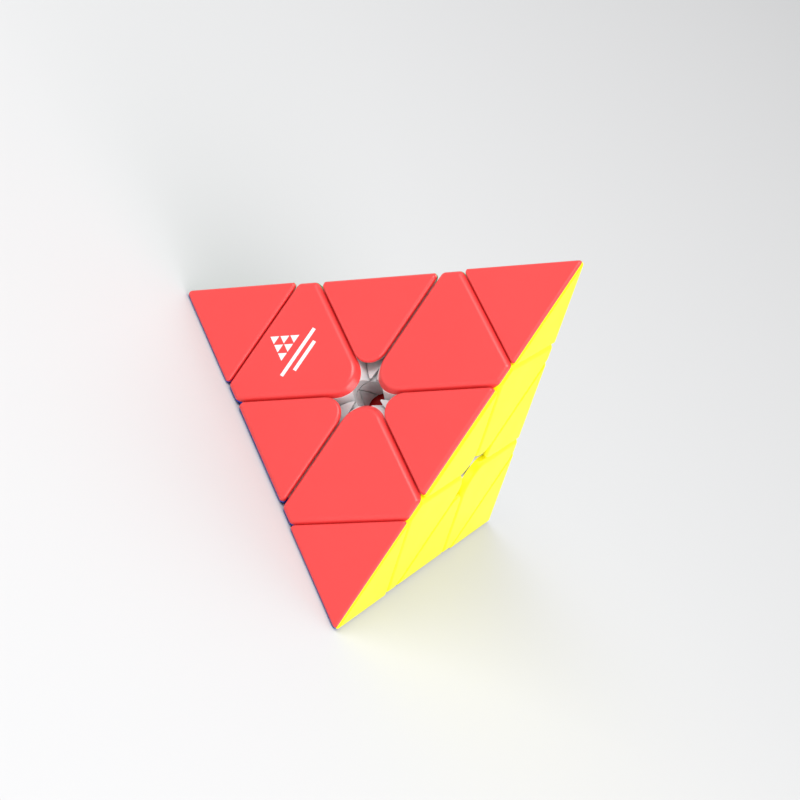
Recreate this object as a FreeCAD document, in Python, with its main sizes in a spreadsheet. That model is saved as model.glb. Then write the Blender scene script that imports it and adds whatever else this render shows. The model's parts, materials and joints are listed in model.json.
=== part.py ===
"""Pyramid twisty puzzle: a tetrahedron of four corner layers that turn about one core.

Frame: +Z up, the puzzle rests on one face with the centre of that face at the origin.
The four turning axes run from the core centre to the vertices. Every surface between
pieces of different layers is a plane square to an axis or a sphere about the core centre,
so each layer turns past the others without touching them.
"""
import FreeCAD, Part
import Sketcher
import math
import os

from FreeCAD import Placement, Rotation, Vector

doc = FreeCAD.newDocument("PyramidPuzzle")

# ---------------------------------------------------------------- driving dimensions, mm
DIMENSIONS = [
    ("edge_length", 98.0, "edge of the sharp tetrahedron"),
    ("cut_plane", 7.3, "layer cut, distance from the core centre along each axis"),
    ("tip_plane", 35.7, "tip cut, distance from the core centre along each axis"),
    ("foot_plane", 3.5, "layer cut between the feet, below the foot sphere"),
    ("foot_radius", 16.5, "sphere between the feet and the outer blocks"),
    ("play", 0.3, "gap between pieces that slide on each other"),
    ("cap_depth", 1.8, "thickness of a coloured cap"),
    ("cap_ledge", 0.1, "white ledge left beside a cap"),
    ("cap_seam", 0.04, "seam between two caps of one piece"),
    ("vee_band", 1.0, "width of the rounded rim beside the groove between a tip and its axial"),
    ("edge_corner", 4.6, "rounding of an edge piece at the face centre"),
    ("axial_corner", 5.9, "rounding of an axial piece at the face centre"),
    ("opening", 3.6, "round opening from the centre of each face to the core"),
    ("ridge_band", 2.0, "width of the rounding on each side of the tetrahedron's edges"),
    ("tip_band", 1.3, "width of that rounding on a tip"),
    ("rim_band", 1.0, "width of the rounded rim of a cap beside a layer cut"),
    ("side_wall", 1.8, "wall of an edge body beside its pockets"),
    ("pocket_depth", 7.0, "depth of a pocket under an edge cap"),
    ("axial_pocket", 6.0, "depth of a pocket under an axial cap"),
    ("core_radius", 9.5, "ball of the core"),
    ("core_clear", 9.85, "sphere inside the feet, clear of the ball"),
    ("arm_radius", 4.2, "arm of the core"),
    ("arm_reach", 12.6, "end of an arm, from the core centre"),
    ("fit", 0.06, "running clearance on the radius"),
    ("shelf_low", 12.9, "underside of the shelf that carries the spring"),
    ("shelf_high", 14.9, "top of that shelf"),
    ("screw_radius", 1.5, "shank of an axis screw"),
    ("screw_foot", 4.0, "lower end of an axis screw"),
    ("screw_pass", 1.9, "hole for the screw in the shelf"),
    ("well_radius", 4.5, "well for the spring, washer and screw head"),
    ("well_top", 27.5, "top of that well"),
    ("spring_coil", 2.75, "radius of the spring to the middle of its wire"),
    ("spring_wire", 0.35, "radius of the spring's wire"),
    ("spring_low", 15.3, "first turn of the spring, at the middle of the wire"),
    ("spring_high", 21.6, "last turn of the spring, at the middle of the wire"),
    ("spring_pitch", 2.1, "pitch of the spring"),
    ("washer_low", 22.0, "underside of the washer"),
    ("washer_high", 22.8, "top of the washer"),
    ("washer_radius", 3.9, "outer radius of the washer"),
    ("head_radius", 3.0, "screw head"),
    ("head_high", 25.2, "top of the screw head"),
    ("socket_radius", 1.4, "hexagon socket in the head, to its corners"),
    ("socket_depth", 1.3, "depth of that socket"),
    ("relief_radius", 6.0, "room for the tip's snap lip"),
    ("relief_top", 31.0, "ledge above the snap lip"),
    ("neck_radius", 5.0, "bore that a tip's stem turns in"),
    ("stem_low", 28.6, "lower end of a tip's stem"),
    ("lip_high", 30.6, "top of the snap lip"),
    ("lip_radius", 5.7, "snap lip"),
    ("stem_wall", 1.3, "wall of a tip's stem"),
    ("slot_width", 1.2, "slots that let the snap lip spring in"),
    ("slot_top", 33.4, "upper end of the slots"),
    ("tip_hollow", 43.0, "top of the hollow in a tip"),
    ("block", 160.0, "size of the blocks that stand for half spaces"),
]
sheet = doc.addObject("Spreadsheet::Sheet", "Dimensions")
for row, (alias, value, note) in enumerate(DIMENSIONS, start=1):
    sheet.set(f"A{row}", note)
    sheet.set(f"B{row}", str(value))
    sheet.setAlias(f"B{row}", alias)
doc.recompute()
ALIASES = {alias for alias, value, note in DIMENSIONS}


def cell(text):
    """Turn 'cut_plane + play / 2' into an expression on the sheet's cells."""
    words = [f"Dimensions.{word}" if word in ALIASES else word for word in text.split()]
    return " ".join(words)


def size(text):
    """The value of such a text, in millimetres."""
    return float(sheet.evalExpression(cell(text)))

# ---------------------------------------------------------------- axes of the tetrahedron
INRADIUS = "edge_length * sqrt(6) / 12"
TILT = 1.0 / 3.0
REACH = math.sqrt(1.0 - TILT ** 2)
AXES = {
    "top": Vector(0, 0, 1),
    "left": Vector(-REACH * math.sqrt(3) / 2, -REACH / 2, -TILT),
    "right": Vector(REACH * math.sqrt(3) / 2, -REACH / 2, -TILT),
    "back": Vector(0, REACH, -TILT),
}
# The face opposite each vertex, named by its colour.
FACE_COLOURS = {"top": "blue", "left": "yellow", "right": "green", "back": "red"}
CENTRE = Vector(0, 0, size(INRADIUS))
# A rounding of radius 1 takes this much off each side of an acute or an obtuse corner.
ACUTE = math.sqrt(2)
OBTUSE = 1 / math.sqrt(2)

nodes = []


def node(feature, label):
    """Name a finished sub-part."""
    feature.Label = label
    nodes.append(feature)
    return feature


# ---------------------------------------------------------------- building blocks
half_spaces = {}


def half_space(direction, distance, outwards):
    """A block with one end on the plane at this distance, reaching outwards or inwards."""
    key = (tuple(direction), distance, outwards)
    if key not in half_spaces:
        block = doc.addObject("Part::Cylinder", "HalfSpace")
        block.setExpression("Radius", cell("block"))
        block.setExpression("Height", cell("block"))
        way = direction if outwards else -direction
        block.Placement = Placement(Vector(), Rotation(Vector(0, 0, 1), way))
        at_centre = ("0", "0", cell(INRADIUS))
        for letter, share, start in zip("xyz", direction, at_centre):
            block.setExpression(f"Placement.Base.{letter}", f"{start} + {share:.12f} * ({cell(distance)})")
        block.recompute()
        half_spaces[key] = block
    return half_spaces[key]


def beyond(axis, distance):
    """Everything further out along the axis than the plane."""
    return half_space(AXES[axis], distance, True)


def short_of(axis, distance):
    """Everything less far along the axis than the plane."""
    return half_space(AXES[axis], distance, False)


def inside_face(axis, depth="0"):
    """Everything behind the face opposite this vertex, or deeper than a depth below it."""
    return beyond(axis, f"{depth} - {INRADIUS}")


def near_face(axis, depth):
    """Everything between the face opposite this vertex and a depth below it."""
    return short_of(axis, f"{depth} - {INRADIUS}")


def nearer_to(axis, other, distance):
    """The side of the mid plane of two faces that holds the face opposite the first axis."""
    direction = (AXES[other] - AXES[axis]).normalize()
    return half_space(direction, distance, True)


def ball(radius):
    """A ball about the core centre."""
    sphere = doc.addObject("Part::Sphere", "Ball")
    sphere.setExpression("Radius", cell(radius))
    sphere.setExpression("Placement.Base.z", cell(INRADIUS))
    sphere.recompute()
    return sphere


def post(axis, radius, low, high):
    """A round post along an axis, from low to high above the core centre."""
    cylinder = doc.addObject("Part::Cylinder", "Post")
    cylinder.setExpression("Radius", cell(radius))
    cylinder.setExpression("Height", f"{cell(high)} - ({cell(low)})")
    cylinder.Placement = Placement(Vector(), Rotation(Vector(0, 0, 1), AXES[axis]))
    for letter, share, start in zip("xyz", AXES[axis], ("0", "0", cell(INRADIUS))):
        cylinder.setExpression(f"Placement.Base.{letter}", f"{start} + {share:.12f} * ({cell(low)})")
    cylinder.recompute()
    return cylinder


def common(*shapes):
    feature = doc.addObject("Part::MultiCommon", "Common")
    feature.Shapes = list(shapes)
    feature.recompute()
    return feature


def fuse(*shapes):
    feature = doc.addObject("Part::MultiFuse", "Fuse")
    feature.Shapes = list(shapes)
    feature.Refine = True
    feature.recompute()
    return feature


def cut(base, *tools):
    feature = doc.addObject("Part::Cut", "Cut")
    feature.Base = base
    feature.Tool = tools[0] if len(tools) == 1 else fuse(*tools)
    feature.recompute()
    return feature


def on_plane(edge, block):
    """Whether an edge lies on the flat end of a half-space block."""
    base = block.Placement.Base
    way = block.Placement.Rotation.multVec(Vector(0, 0, 1))
    first, last = edge.ParameterRange
    points = [edge.valueAt(first + (last - first) * share) for share in (0.1, 0.5, 0.9)]
    return all(abs((point - base).dot(way)) < 1e-4 for point in points)


def rounded(base, pairs, radius, kind="Part::Fillet"):
    """Round or chamfer each edge that lies on both blocks of a pair."""
    chosen = [
        index
        for index, edge in enumerate(base.Shape.Edges, start=1)
        if any(on_plane(edge, first) and on_plane(edge, second) for first, second in pairs)
    ]
    if not chosen:
        raise RuntimeError(f"no edge to round on {base.Name}")
    feature = doc.addObject(kind, "Rounded")
    feature.Base = base
    feature.Edges = [(index, radius, radius) for index in chosen]
    feature.recompute()
    if feature.Shape.isNull() or not feature.Shape.isValid():
        raise RuntimeError(f"{base.Name} can't be rounded by {radius}")
    return feature


def wedge(first, second, radius):
    """What two half-space blocks share, with the edge between them rounded."""
    return rounded(common(first, second), [(first, second)], radius)


def face_opening(axis):
    """A round opening from the core to the centre of the face opposite a vertex."""
    return post(axis, "opening", f"0 - {INRADIUS}", "0")


# ---------------------------------------------------------------- sketches and bodies
def sketch_on(body, plane, height="0"):
    """A sketch on one of the body's own planes, raised by a height."""
    sketch = body.newObject("Sketcher::SketchObject", "Sketch")
    origin = next(item for item in body.Origin.OriginFeatures if item.Role == plane)
    sketch.AttachmentSupport = [(origin, "")]
    sketch.MapMode = "FlatFace"
    sketch.setExpression("AttachmentOffset.Base.z", cell(height))
    return sketch


def polygon(sketch, corners):
    """A closed polygon, each corner held by its two distances from the sketch's origin."""
    points = [Vector(size(across), size(along), 0) for across, along in corners]
    count = len(points)
    for index in range(count):
        sketch.addGeometry(Part.LineSegment(points[index], points[(index + 1) % count]), False)
    for index in range(count):
        sketch.addConstraint(Sketcher.Constraint("Coincident", index, 2, (index + 1) % count, 1))
    for index, corner in enumerate(corners):
        for kind, place, axis in (("DistanceX", corner[0], -2), ("DistanceY", corner[1], -1)):
            if place == "0":
                sketch.addConstraint(Sketcher.Constraint("PointOnObject", index, 1, axis))
                continue
            number = sketch.addConstraint(Sketcher.Constraint(kind, -1, 1, index, 1, size(place)))
            sketch.setExpression(f"Constraints[{number}]", cell(place))


def circle(sketch, radius):
    """A circle about the sketch's origin."""
    number = sketch.addGeometry(Part.Circle(Vector(), Vector(0, 0, 1), size(radius)), False)
    sketch.addConstraint(Sketcher.Constraint("Coincident", number, 3, -1, 1))
    held = sketch.addConstraint(Sketcher.Constraint("Radius", number, size(radius)))
    sketch.setExpression(f"Constraints[{held}]", cell(radius))


def on_axis(body, axis):
    """Stand a body, modelled along +Z from the core centre, on one of the axes."""
    body.Placement = Placement(CENTRE, Rotation(Vector(0, 0, 1), AXES[axis]))
    body.setExpression("Placement.Base.z", cell(INRADIUS))
    return body


def group(label, shapes):
    """Several separate solids in one node."""
    feature = doc.addObject("Part::Compound", "Group")
    feature.Links = shapes
    return node(feature, label)


# ---------------------------------------------------------------- the core and its hardware
def core():
    """A ball with four arms, each with a hole for its screw."""
    arms = [post(axis, "arm_radius", "0", "arm_reach") for axis in AXES]
    holes = [post(axis, "screw_radius + fit / 3", "screw_foot - 0.5", "arm_reach + 1") for axis in AXES]
    node(cut(fuse(ball("core_radius"), *arms), *holes), "core")


def axis_screw(axis):
    """A shank and a head turned in one profile, with a hexagon socket."""
    body = doc.addObject("PartDesign::Body", "Screw")
    profile = sketch_on(body, "XZ_Plane")
    polygon(profile, [
        ("0", "screw_foot"),
        ("screw_radius", "screw_foot"),
        ("screw_radius", "washer_high"),
        ("head_radius", "washer_high"),
        ("head_radius", "head_high"),
        ("0", "head_high"),
    ])
    turned = body.newObject("PartDesign::Revolution", "Turned")
    turned.Profile = profile
    turned.ReferenceAxis = (profile, ["V_Axis"])
    turned.Angle = 360
    doc.recompute()
    socket = body.newObject("PartDesign::SubtractivePrism", "Socket")
    socket.Polygon = 6
    socket.setExpression("Circumradius", cell("socket_radius"))
    socket.setExpression("Height", cell("socket_depth + 1"))
    socket.setExpression("Placement.Base.z", cell("head_high - socket_depth"))
    return on_axis(body, axis)


def washer(axis):
    """A flat ring under the screw head."""
    body = doc.addObject("PartDesign::Body", "Washer")
    profile = sketch_on(body, "XY_Plane", "washer_low")
    circle(profile, "washer_radius")
    circle(profile, "screw_radius + fit")
    ring = body.newObject("PartDesign::Pad", "Ring")
    ring.Profile = profile
    ring.setExpression("Length", cell("washer_high - washer_low"))
    return on_axis(body, axis)


def spring(axis):
    """A compression spring round the screw, between the axial's shelf and the washer."""
    helix = doc.addObject("Part::Helix", "Coil")
    helix.SegmentLength = 0.5
    helix.setExpression("Radius", cell("spring_coil"))
    helix.setExpression("Pitch", cell("spring_pitch"))
    helix.setExpression("Height", cell("spring_high - spring_low"))
    helix.setExpression("Placement.Base.z", cell("spring_low"))
    wire = doc.addObject("Part::Circle", "Wire")
    wire.setExpression("Radius", cell("spring_wire"))
    wire.Placement = Placement(Vector(), Rotation(Vector(1, 0, 0), 90))
    wire.setExpression("Placement.Base.x", cell("spring_coil"))
    wire.setExpression("Placement.Base.z", cell("spring_low"))
    coil = doc.addObject("Part::Sweep", "Spring")
    coil.Sections = [wire]
    coil.Spine = (helix, [])
    coil.Solid = True
    coil.Frenet = True
    return on_axis(coil, axis)


# ---------------------------------------------------------------- coloured caps
def caps(block, faces, name):
    """Split the outer skin of a rounded block into one cap for each of its faces."""
    for face in faces:
        sides = [nearer_to(face, other, "cap_seam / 2") for other in faces if other != face]
        cap = common(block, near_face(face, "cap_depth"), *sides)
        node(cap, f"{name}_{FACE_COLOURS[face]}_cap")


def ridges(faces):
    """The pairs of faces that meet in an edge of the tetrahedron."""
    pairs = [(faces[i], faces[j]) for i in range(len(faces)) for j in range(i)]
    return [(inside_face(first), inside_face(second)) for first, second in pairs]


# ---------------------------------------------------------------- tips
def tip(axis):
    """A corner of the tetrahedron with a snap stem that turns in its axial."""
    faces = [other for other in AXES if other != axis]
    low = beyond(axis, "tip_plane + play / 2")
    inner = common(low, *[inside_face(face, "cap_depth") for face in faces])
    stem = post(axis, "neck_radius - fit", "stem_low", "tip_plane + 1")
    lip = post(axis, "lip_radius", "stem_low", "lip_high")
    hollow = post(axis, "neck_radius - fit - stem_wall", "stem_low - 1", "tip_hollow")
    slots = []
    for quarter in (0, 90):
        slot = doc.addObject("Part::Box", "Slot")
        slot.setExpression("Length", cell("4 * lip_radius"))
        slot.setExpression("Width", cell("slot_width"))
        slot.setExpression("Height", cell("slot_top - stem_low + 1"))
        turn = Rotation(Vector(0, 0, 1), AXES[axis]).multiply(Rotation(Vector(0, 0, 1), quarter))
        corner = Vector(-2 * size("lip_radius"), -size("slot_width") / 2, size("stem_low") - 1)
        slot.Placement = Placement(CENTRE + turn.multVec(corner), turn)
        slots.append(slot)
    node(cut(fuse(inner, stem, lip), hollow, *slots), f"tip_{axis}_base")

    block = common(low, *[inside_face(face) for face in faces])
    block = rounded(block, ridges(faces), size("tip_band") / ACUTE)
    rim = [(low, inside_face(face)) for face in faces]
    block = rounded(block, rim, size("vee_band") / ACUTE)
    caps(block, faces, f"tip_{axis}")


# ---------------------------------------------------------------- axial pieces
def axial_outside(axis, faces, sides, depth):
    """The outer block of an axial, rounded where it points at the centres of its faces."""
    pairs = [(sides[0], sides[1]), (sides[1], sides[2]), (sides[2], sides[0])]
    wedges = [wedge(first, second, size("axial_corner")) for first, second in pairs]
    low = beyond(axis, "cut_plane + play / 2")
    high = short_of(axis, "tip_plane - play / 2")
    return common(low, high, *wedges, *[inside_face(face, depth) for face in faces])


def axial(axis):
    """The piece behind a tip. It turns on the screw and hooks over the feet of its edges."""
    faces = [other for other in AXES if other != axis]
    sides = [short_of(other, "cut_plane - play / 2") for other in faces]
    outer = axial_outside(axis, faces, sides, "cap_depth")
    foot_sides = [short_of(other, "foot_plane - play / 2") for other in faces]
    foot = common(beyond(axis, "foot_plane + play / 2"), ball("foot_radius + play"), *foot_sides)
    carrier = fuse(cut(outer, ball("foot_radius + play / 2")), foot)
    bores = [
        ball("core_clear + play / 2"),
        post(axis, "arm_radius + fit", "0", "shelf_low"),
        post(axis, "screw_pass", "0", "shelf_high + 1"),
        post(axis, "well_radius", "shelf_high", "well_top + 1"),
        post(axis, "relief_radius", "well_top", "relief_top"),
        post(axis, "neck_radius", "relief_top - 1", "tip_plane + 1"),
    ]
    bores += [openings[face] for face in faces]
    tube = fuse(post(axis, "relief_radius + side_wall", "0", "tip_plane"), ball("foot_radius + side_wall"))
    walls = [short_of(other, "cut_plane - play / 2 - side_wall") for other in faces]
    walls += [short_of(axis, "tip_plane - play / 2 - side_wall"), beyond(axis, "cut_plane + 4 * side_wall")]
    for face in faces:
        webs = [nearer_to(face, other, "side_wall / 2") for other in faces if other != face]
        depth = [near_face(face, "axial_pocket"), inside_face(face)]
        bores.append(cut(common(*depth, *walls, *webs), tube))
    node(cut(carrier, *bores), f"axial_{axis}_carrier")

    cap_sides = [short_of(other, "cut_plane - play / 2 - cap_ledge") for other in faces]
    block = axial_outside(axis, faces, cap_sides, "0")
    block = rounded(block, ridges(faces), size("ridge_band") / ACUTE)
    vee = [(short_of(axis, "tip_plane - play / 2"), inside_face(face)) for face in faces]
    block = rounded(block, vee, size("vee_band") / OBTUSE)
    rim = [(side, inside_face(face)) for side in cap_sides for face in faces]
    block = rounded(block, rim, size("rim_band") / OBTUSE)
    caps(block, faces, f"axial_{axis}")


# ---------------------------------------------------------------- edge pieces
def edge(first, second):
    """The piece between two vertices. Its foot is held under the two axials beside it."""
    faces = [other for other in AXES if other not in (first, second)]
    sides = [beyond(axis, "cut_plane + play / 2") for axis in (first, second)]
    outer = common(*sides, *[inside_face(face, "cap_depth") for face in faces])
    outer = rounded(outer, [tuple(sides)], size("edge_corner"))
    neck = common(*sides, ball("foot_radius + play * 5"))
    foot = common(
        *[beyond(axis, "foot_plane + play / 2") for axis in (first, second)],
        *[short_of(face, "foot_plane - play / 2") for face in faces],
        ball("foot_radius - play / 2"),
    )
    pockets = []
    for face, other in (faces, faces[::-1]):
        walls = [beyond(axis, "cut_plane + play / 2 + side_wall") for axis in (first, second)]
        web = nearer_to(face, other, "side_wall / 2")
        pocket = common(near_face(face, "pocket_depth"), inside_face(face), web, *walls)
        pockets.append(rounded(pocket, [tuple(walls)], size("edge_corner - side_wall")))
    ways = [openings[face] for face in faces]
    body = cut(fuse(outer, neck, foot), ball("core_clear + play / 2"), *pockets, *ways)
    node(body, f"edge_{first}_{second}_body")

    cap_sides = [beyond(axis, "cut_plane + play / 2 + cap_ledge") for axis in (first, second)]
    block = common(*cap_sides, *[inside_face(face) for face in faces])
    block = rounded(block, [tuple(cap_sides)], size("edge_corner"))
    block = rounded(block, ridges(faces), size("ridge_band") / ACUTE)
    rim = [(side, inside_face(face)) for side in cap_sides for face in faces]
    block = rounded(block, rim, size("rim_band") / ACUTE)
    caps(block, faces, f"edge_{first}_{second}")


# ---------------------------------------------------------------- the whole puzzle
openings = {axis: face_opening(axis) for axis in AXES}
core()
group("axis_screws", [axis_screw(axis) for axis in AXES])
group("spring_washers", [washer(axis) for axis in AXES])
group("springs", [spring(axis) for axis in AXES])
for vertex in AXES:
    tip(vertex)
    axial(vertex)
names = list(AXES)
for number, vertex in enumerate(names):
    for next_vertex in names[number + 1:]:
        edge(vertex, next_vertex)

doc.recompute()
for feature in doc.Objects:
    if {"Invalid", "Error"} & set(feature.State):
        raise RuntimeError(f"{feature.Label} failed: {feature.State}")
for feature in nodes:
    if feature.Shape.isNull() or not feature.Shape.isValid():
        raise RuntimeError(f"{feature.Label} has no valid shape")

os.makedirs("parts", exist_ok=True)
for feature in nodes:
    feature.Shape.exportStep(f"parts/{feature.Label}.step")
    print(f"{feature.Label}: {len(feature.Shape.Solids)} solids, {feature.Shape.Volume / 1000:.2f} cm3")
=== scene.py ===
"""Looks of the pyramid twisty puzzle: plastics, rim shading, a printed mark, floor, light and camera."""
import bmesh
import bpy
import json
import math

from mathutils import Matrix, Vector


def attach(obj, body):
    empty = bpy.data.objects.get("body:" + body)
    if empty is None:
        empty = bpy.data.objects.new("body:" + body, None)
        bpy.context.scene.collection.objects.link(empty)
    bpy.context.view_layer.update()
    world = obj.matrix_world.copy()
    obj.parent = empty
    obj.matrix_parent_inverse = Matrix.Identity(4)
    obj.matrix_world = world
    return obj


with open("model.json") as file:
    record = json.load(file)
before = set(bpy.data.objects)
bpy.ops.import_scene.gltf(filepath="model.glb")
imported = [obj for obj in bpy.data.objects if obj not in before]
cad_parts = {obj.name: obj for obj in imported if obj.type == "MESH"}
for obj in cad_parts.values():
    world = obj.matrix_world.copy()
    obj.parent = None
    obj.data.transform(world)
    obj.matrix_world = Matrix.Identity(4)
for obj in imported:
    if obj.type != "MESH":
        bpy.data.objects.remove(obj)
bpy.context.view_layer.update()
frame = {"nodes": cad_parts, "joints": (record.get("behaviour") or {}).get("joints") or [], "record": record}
NODES = frame["nodes"]
SLOT_OF = {part["node"]: part["material_slot"] for part in frame["record"]["subparts"]}
AXIS = {joint["name"]: Vector(joint["axis"]).normalized() for joint in frame["joints"]}
MM = 0.001

# The core centre is where every turning axis starts.
CORE = Vector(frame["joints"][0]["pos_m"])


# ---------------------------------------------------------------- materials
class Nodes:
    """A short way to write a material's node tree. Scales are in features per metre."""

    def __init__(self, name):
        self.material = bpy.data.materials.new(name)
        self.material.use_nodes = True
        self.tree = self.material.node_tree
        self.shader = self.tree.nodes["Principled BSDF"]

    def add(self, kind, **inputs):
        """A node with its inputs set. An underscore in an input's name stands for a space."""
        node = self.tree.nodes.new(kind)
        for key, value in inputs.items():
            node.inputs[key.replace("_", " ")].default_value = value
        return node

    def link(self, source, output, target, socket):
        self.tree.links.new(source.outputs[output], target.inputs[socket])

    def noise(self, scale, detail):
        """Noise fixed to the piece."""
        place = self.add("ShaderNodeTexCoord")
        noise = self.add("ShaderNodeTexNoise", Scale=scale, Detail=detail, Roughness=0.5)
        self.link(place, "Object", noise, "Vector")
        return noise

    def spread(self, noise, low, high):
        """The noise, spread over a range of values."""
        spread = self.add("ShaderNodeMapRange", From_Min=0.3, From_Max=0.7, To_Min=low, To_Max=high)
        self.link(noise, "Fac", spread, "Value")
        return spread

    def colour_between(self, first, second, factor):
        """A base colour that wanders between two colours."""
        mix = self.tree.nodes.new("ShaderNodeMix")
        mix.data_type = "RGBA"
        mix.inputs["A"].default_value = (*first, 1)
        mix.inputs["B"].default_value = (*second, 1)
        self.link(factor, "Result", mix, "Factor")
        self.link(mix, "Result", self.shader, "Base Color")

    def roughness_between(self, noise, low, high):
        """A gloss that wanders between two roughnesses."""
        self.link(self.spread(noise, low, high), "Result", self.shader, "Roughness")

    def bump(self, noise, strength, distance):
        """A bump of a height in metres."""
        bump = self.add("ShaderNodeBump", Strength=strength, Distance=distance)
        self.link(noise, "Fac", bump, "Height")
        return bump


def moulded_plastic(name, colour, deep, roughness, grain, subsurface=0.0, ior=1.53):
    """Injection-moulded plastic: a faint cloudiness, a fine grain and soft waves in the gloss."""
    nodes = Nodes(name)
    nodes.colour_between(deep, colour, nodes.spread(nodes.noise(55.0, 3.0), 0.55, 1.0))
    nodes.roughness_between(nodes.noise(90.0, 1.0), roughness - 0.015, roughness + 0.015)
    fine = nodes.bump(nodes.noise(2600.0, 2.0), grain, 0.05 * MM)
    wave = nodes.bump(nodes.noise(45.0, 0.0), 0.02, 1.0 * MM)
    nodes.link(fine, "Normal", wave, "Normal")
    nodes.link(wave, "Normal", nodes.shader, "Normal")
    nodes.shader.inputs["IOR"].default_value = ior
    nodes.shader.inputs["Subsurface Weight"].default_value = subsurface
    nodes.shader.inputs["Subsurface Radius"].default_value = (1.0, 0.5, 0.4)
    nodes.shader.inputs["Subsurface Scale"].default_value = 0.8 * MM
    return nodes.material


def steel(name, colour, roughness, scale):
    """Plated steel with a fine, uneven polish."""
    nodes = Nodes(name)
    nodes.shader.inputs["Metallic"].default_value = 1.0
    dull = [share * 0.8 for share in colour]
    nodes.colour_between(dull, colour, nodes.spread(nodes.noise(scale, 4.0), 0.0, 1.0))
    nodes.roughness_between(nodes.noise(scale * 6, 3.0), roughness - 0.08, roughness + 0.1)
    return nodes.material


# Slot: colour, deeper colour, roughness, grain, subsurface weight and index of refraction.
PLASTICS = {
    "red_plastic": ((0.88, 0.062, 0.060), (0.86, 0.057, 0.055), 0.30, 0.03, 0.08, 1.53),
    "yellow_plastic": ((0.97, 0.90, 0.006), (0.94, 0.85, 0.005), 0.42, 0.03, 0.0, 1.3),
    "blue_plastic": ((0.012, 0.075, 0.56), (0.010, 0.064, 0.51), 0.30, 0.03, 0.05, 1.53),
    "green_plastic": ((0.008, 0.40, 0.07), (0.007, 0.36, 0.06), 0.30, 0.03, 0.05, 1.53),
    "white_plastic": ((0.66, 0.65, 0.65), (0.58, 0.57, 0.58), 0.45, 0.35, 0.1, 1.53),
    "core_plastic": ((0.62, 0.012, 0.012), (0.5, 0.010, 0.010), 0.38, 0.2, 0.0, 1.53),
}
MATERIALS = {slot: moulded_plastic(slot, *look) for slot, look in PLASTICS.items()}
MATERIALS["steel"] = steel("steel", (0.62, 0.62, 0.63), 0.3, 900.0)
MATERIALS["spring_steel"] = steel("spring_steel", (0.5, 0.5, 0.52), 0.35, 1400.0)


def crisp_shading(part):
    """Keep flat faces flat and rounded rims smooth, with a hard line only at real corners."""
    part.data.shade_smooth()
    weld = part.modifiers.new("Weld", "WELD")
    weld.merge_threshold = 0.002 * MM
    split = part.modifiers.new("Corners", "EDGE_SPLIT")
    split.split_angle = math.radians(32)
    split.use_edge_sharp = False
    weighted = part.modifiers.new("Weighted", "WEIGHTED_NORMAL")
    weighted.mode = "FACE_AREA"
    weighted.weight = 80


for name, part in NODES.items():
    part.data.materials.clear()
    part.data.materials.append(MATERIALS[SLOT_OF[name]])
    crisp_shading(part)


# ---------------------------------------------------------------- printed mark
# A plain pictogram of a pyramid in six small triangles, and two short bars under it, in mm
# from the centre of the face. Each bar has a width and a lower edge.
MARK_SIDE = 7.4
MARK_ROWS = 3
MARK_GAP = 0.3
MARK_LOW = 22.4
MARK_BARS = ((13.0, 19.6), (8.0, 17.6))
BAR_HEIGHT = 0.9
INK_HEIGHT = 0.02
INK_THICKNESS = 0.03
SLOPE = math.sqrt(3) / 2


def mark_outlines():
    """The corners of each triangle and bar, as distances along the groove and towards the tip."""
    outlines = []
    step = MARK_SIDE / MARK_ROWS
    side = step - MARK_GAP
    for row in range(MARK_ROWS):
        low = MARK_LOW + row * step * SLOPE
        for column in range(MARK_ROWS - row):
            middle = (column - (MARK_ROWS - row - 1) / 2) * step
            left, right = middle - side / 2, middle + side / 2
            outlines.append([(left, low), (right, low), (middle, low + side * SLOPE)])
    for width, low in MARK_BARS:
        left, right, high = -width / 2, width / 2, low + BAR_HEIGHT
        outlines.append([(left, low), (right, low), (right, high), (left, high)])
    return outlines


def printed_mark():
    """White print on the red cap behind the left tip, laid out along the tip's groove."""
    outwards = -AXIS["axial_back_turn"]
    centre = CORE + outwards * CORE.z
    to_vertex = AXIS["axial_left_turn"]
    towards_tip = (to_vertex - outwards * to_vertex.dot(outwards)).normalized()
    along = towards_tip.cross(outwards)
    mesh = bmesh.new()
    for outline in mark_outlines():
        places = [centre + (along * x + towards_tip * y + outwards * INK_HEIGHT) * MM for x, y in outline]
        mesh.faces.new([mesh.verts.new(place) for place in places])
    data = bpy.data.meshes.new("printed_mark")
    mesh.to_mesh(data)
    mesh.free()
    mark = bpy.data.objects.new("printed_mark", data)
    bpy.context.scene.collection.objects.link(mark)
    ink = mark.modifiers.new("Ink", "SOLIDIFY")
    ink.thickness = INK_THICKNESS * MM
    ink.offset = 0
    data.materials.append(moulded_plastic("print_ink", (0.90, 0.90, 0.90), (0.86, 0.86, 0.86), 0.4, 0.1))
    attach(mark, "axial_left")


printed_mark()


# ---------------------------------------------------------------- floor and light
FLOOR_HALF = 4.0
FLOOR_DROP = 0.05 * MM
# Each soft light: azimuth and elevation in degrees, distance and size in metres, power in watts.
LIGHTS = {
    "key": (-20, 50, 0.9, 0.6, 5.0),
    "right_fill": (85, 30, 0.9, 0.8, 6.5),
    "back_fill": (200, 50, 1.2, 0.8, 4.0),
}


def build_floor():
    """A plain pale sheet just under the puzzle."""
    mesh = bpy.data.meshes.new("floor")
    corners = [(x * FLOOR_HALF, y * FLOOR_HALF, 0) for x, y in ((-1, -1), (1, -1), (1, 1), (-1, 1))]
    mesh.from_pydata(corners, [], [(0, 1, 2, 3)])
    floor = bpy.data.objects.new("floor", mesh)
    bpy.context.scene.collection.objects.link(floor)
    nodes = Nodes("floor_paper")
    nodes.shader.inputs["Base Color"].default_value = (0.60, 0.60, 0.60, 1)
    nodes.shader.inputs["Roughness"].default_value = 0.9
    mesh.materials.append(nodes.material)
    floor.location.z = -FLOOR_DROP


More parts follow.
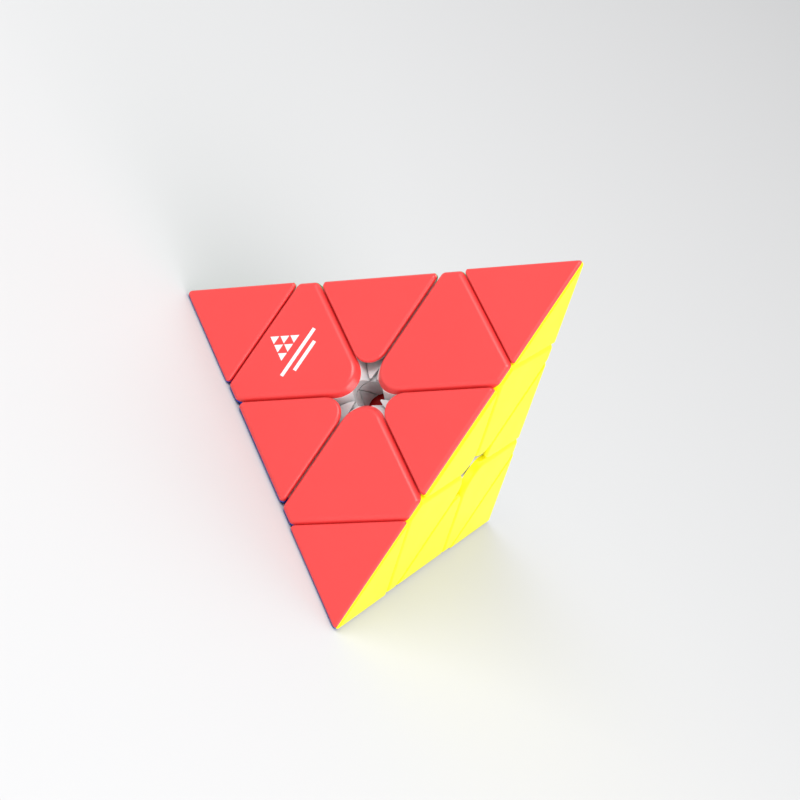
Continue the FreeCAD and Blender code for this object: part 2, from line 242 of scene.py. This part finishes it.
def aim(thing, target, roll=0.0):
    """Turn a camera or light to look at a point, rolled about its line of sight."""
    turn = (target - thing.location).to_track_quat("-Z", "Y").to_matrix()
    thing.rotation_euler = (turn @ Matrix.Rotation(roll, 3, "Z")).to_euler()


def around(azimuth, elevation, distance, centre=CORE):
    """A place at an azimuth and elevation: azimuth 0 looks along +Y."""
    a, e = math.radians(azimuth), math.radians(elevation)
    way = Vector((math.sin(a) * math.cos(e), -math.cos(a) * math.cos(e), math.sin(e)))
    return centre + way * distance


def soft_light(name, azimuth, elevation, distance, size, power):
    """A round soft light that looks at the core."""
    lamp = bpy.data.lights.new(name, "AREA")
    lamp.shape = "DISK"
    lamp.size = size
    lamp.energy = power
    light = bpy.data.objects.new(name, lamp)
    bpy.context.scene.collection.objects.link(light)
    light.location = around(azimuth, elevation, distance)
    aim(light, CORE)


def build_light():
    """Soft lights and a pale surround, shown with plain colours."""
    for name, setting in LIGHTS.items():
        soft_light(name, *setting)
    world = bpy.data.worlds.new("studio")
    world.use_nodes = True
    background = world.node_tree.nodes["Background"]
    background.inputs["Color"].default_value = (0.97, 0.98, 1.0, 1)
    background.inputs["Strength"].default_value = 0.55
    bpy.context.scene.world = world
    bpy.context.scene.view_settings.view_transform = "Standard"


# ---------------------------------------------------------------- camera
CAMERA_AZIMUTH = 35.5
CAMERA_ELEVATION = 24.0
CAMERA_ROLL = 48.2
CAMERA_DISTANCE = 0.58
CAMERA_LENS = 116.08
# The point that the camera looks at, in mm from the core centre.
CAMERA_TARGET = Vector((-4.17, -0.96, 3.67))


def build_camera():
    """The camera leans over, so the puzzle stands on one corner in the picture."""
    lens = bpy.data.cameras.new("camera")
    lens.lens = CAMERA_LENS
    lens.sensor_width = 36
    lens.clip_start = 0.01
    camera = bpy.data.objects.new("camera", lens)
    bpy.context.scene.collection.objects.link(camera)
    target = CORE + CAMERA_TARGET * MM
    camera.location = around(CAMERA_AZIMUTH, CAMERA_ELEVATION, CAMERA_DISTANCE, target)
    aim(camera, target, roll=math.radians(CAMERA_ROLL))
    bpy.context.scene.camera = camera


build_floor()
build_light()
build_camera()

bpy.context.view_layer.update()
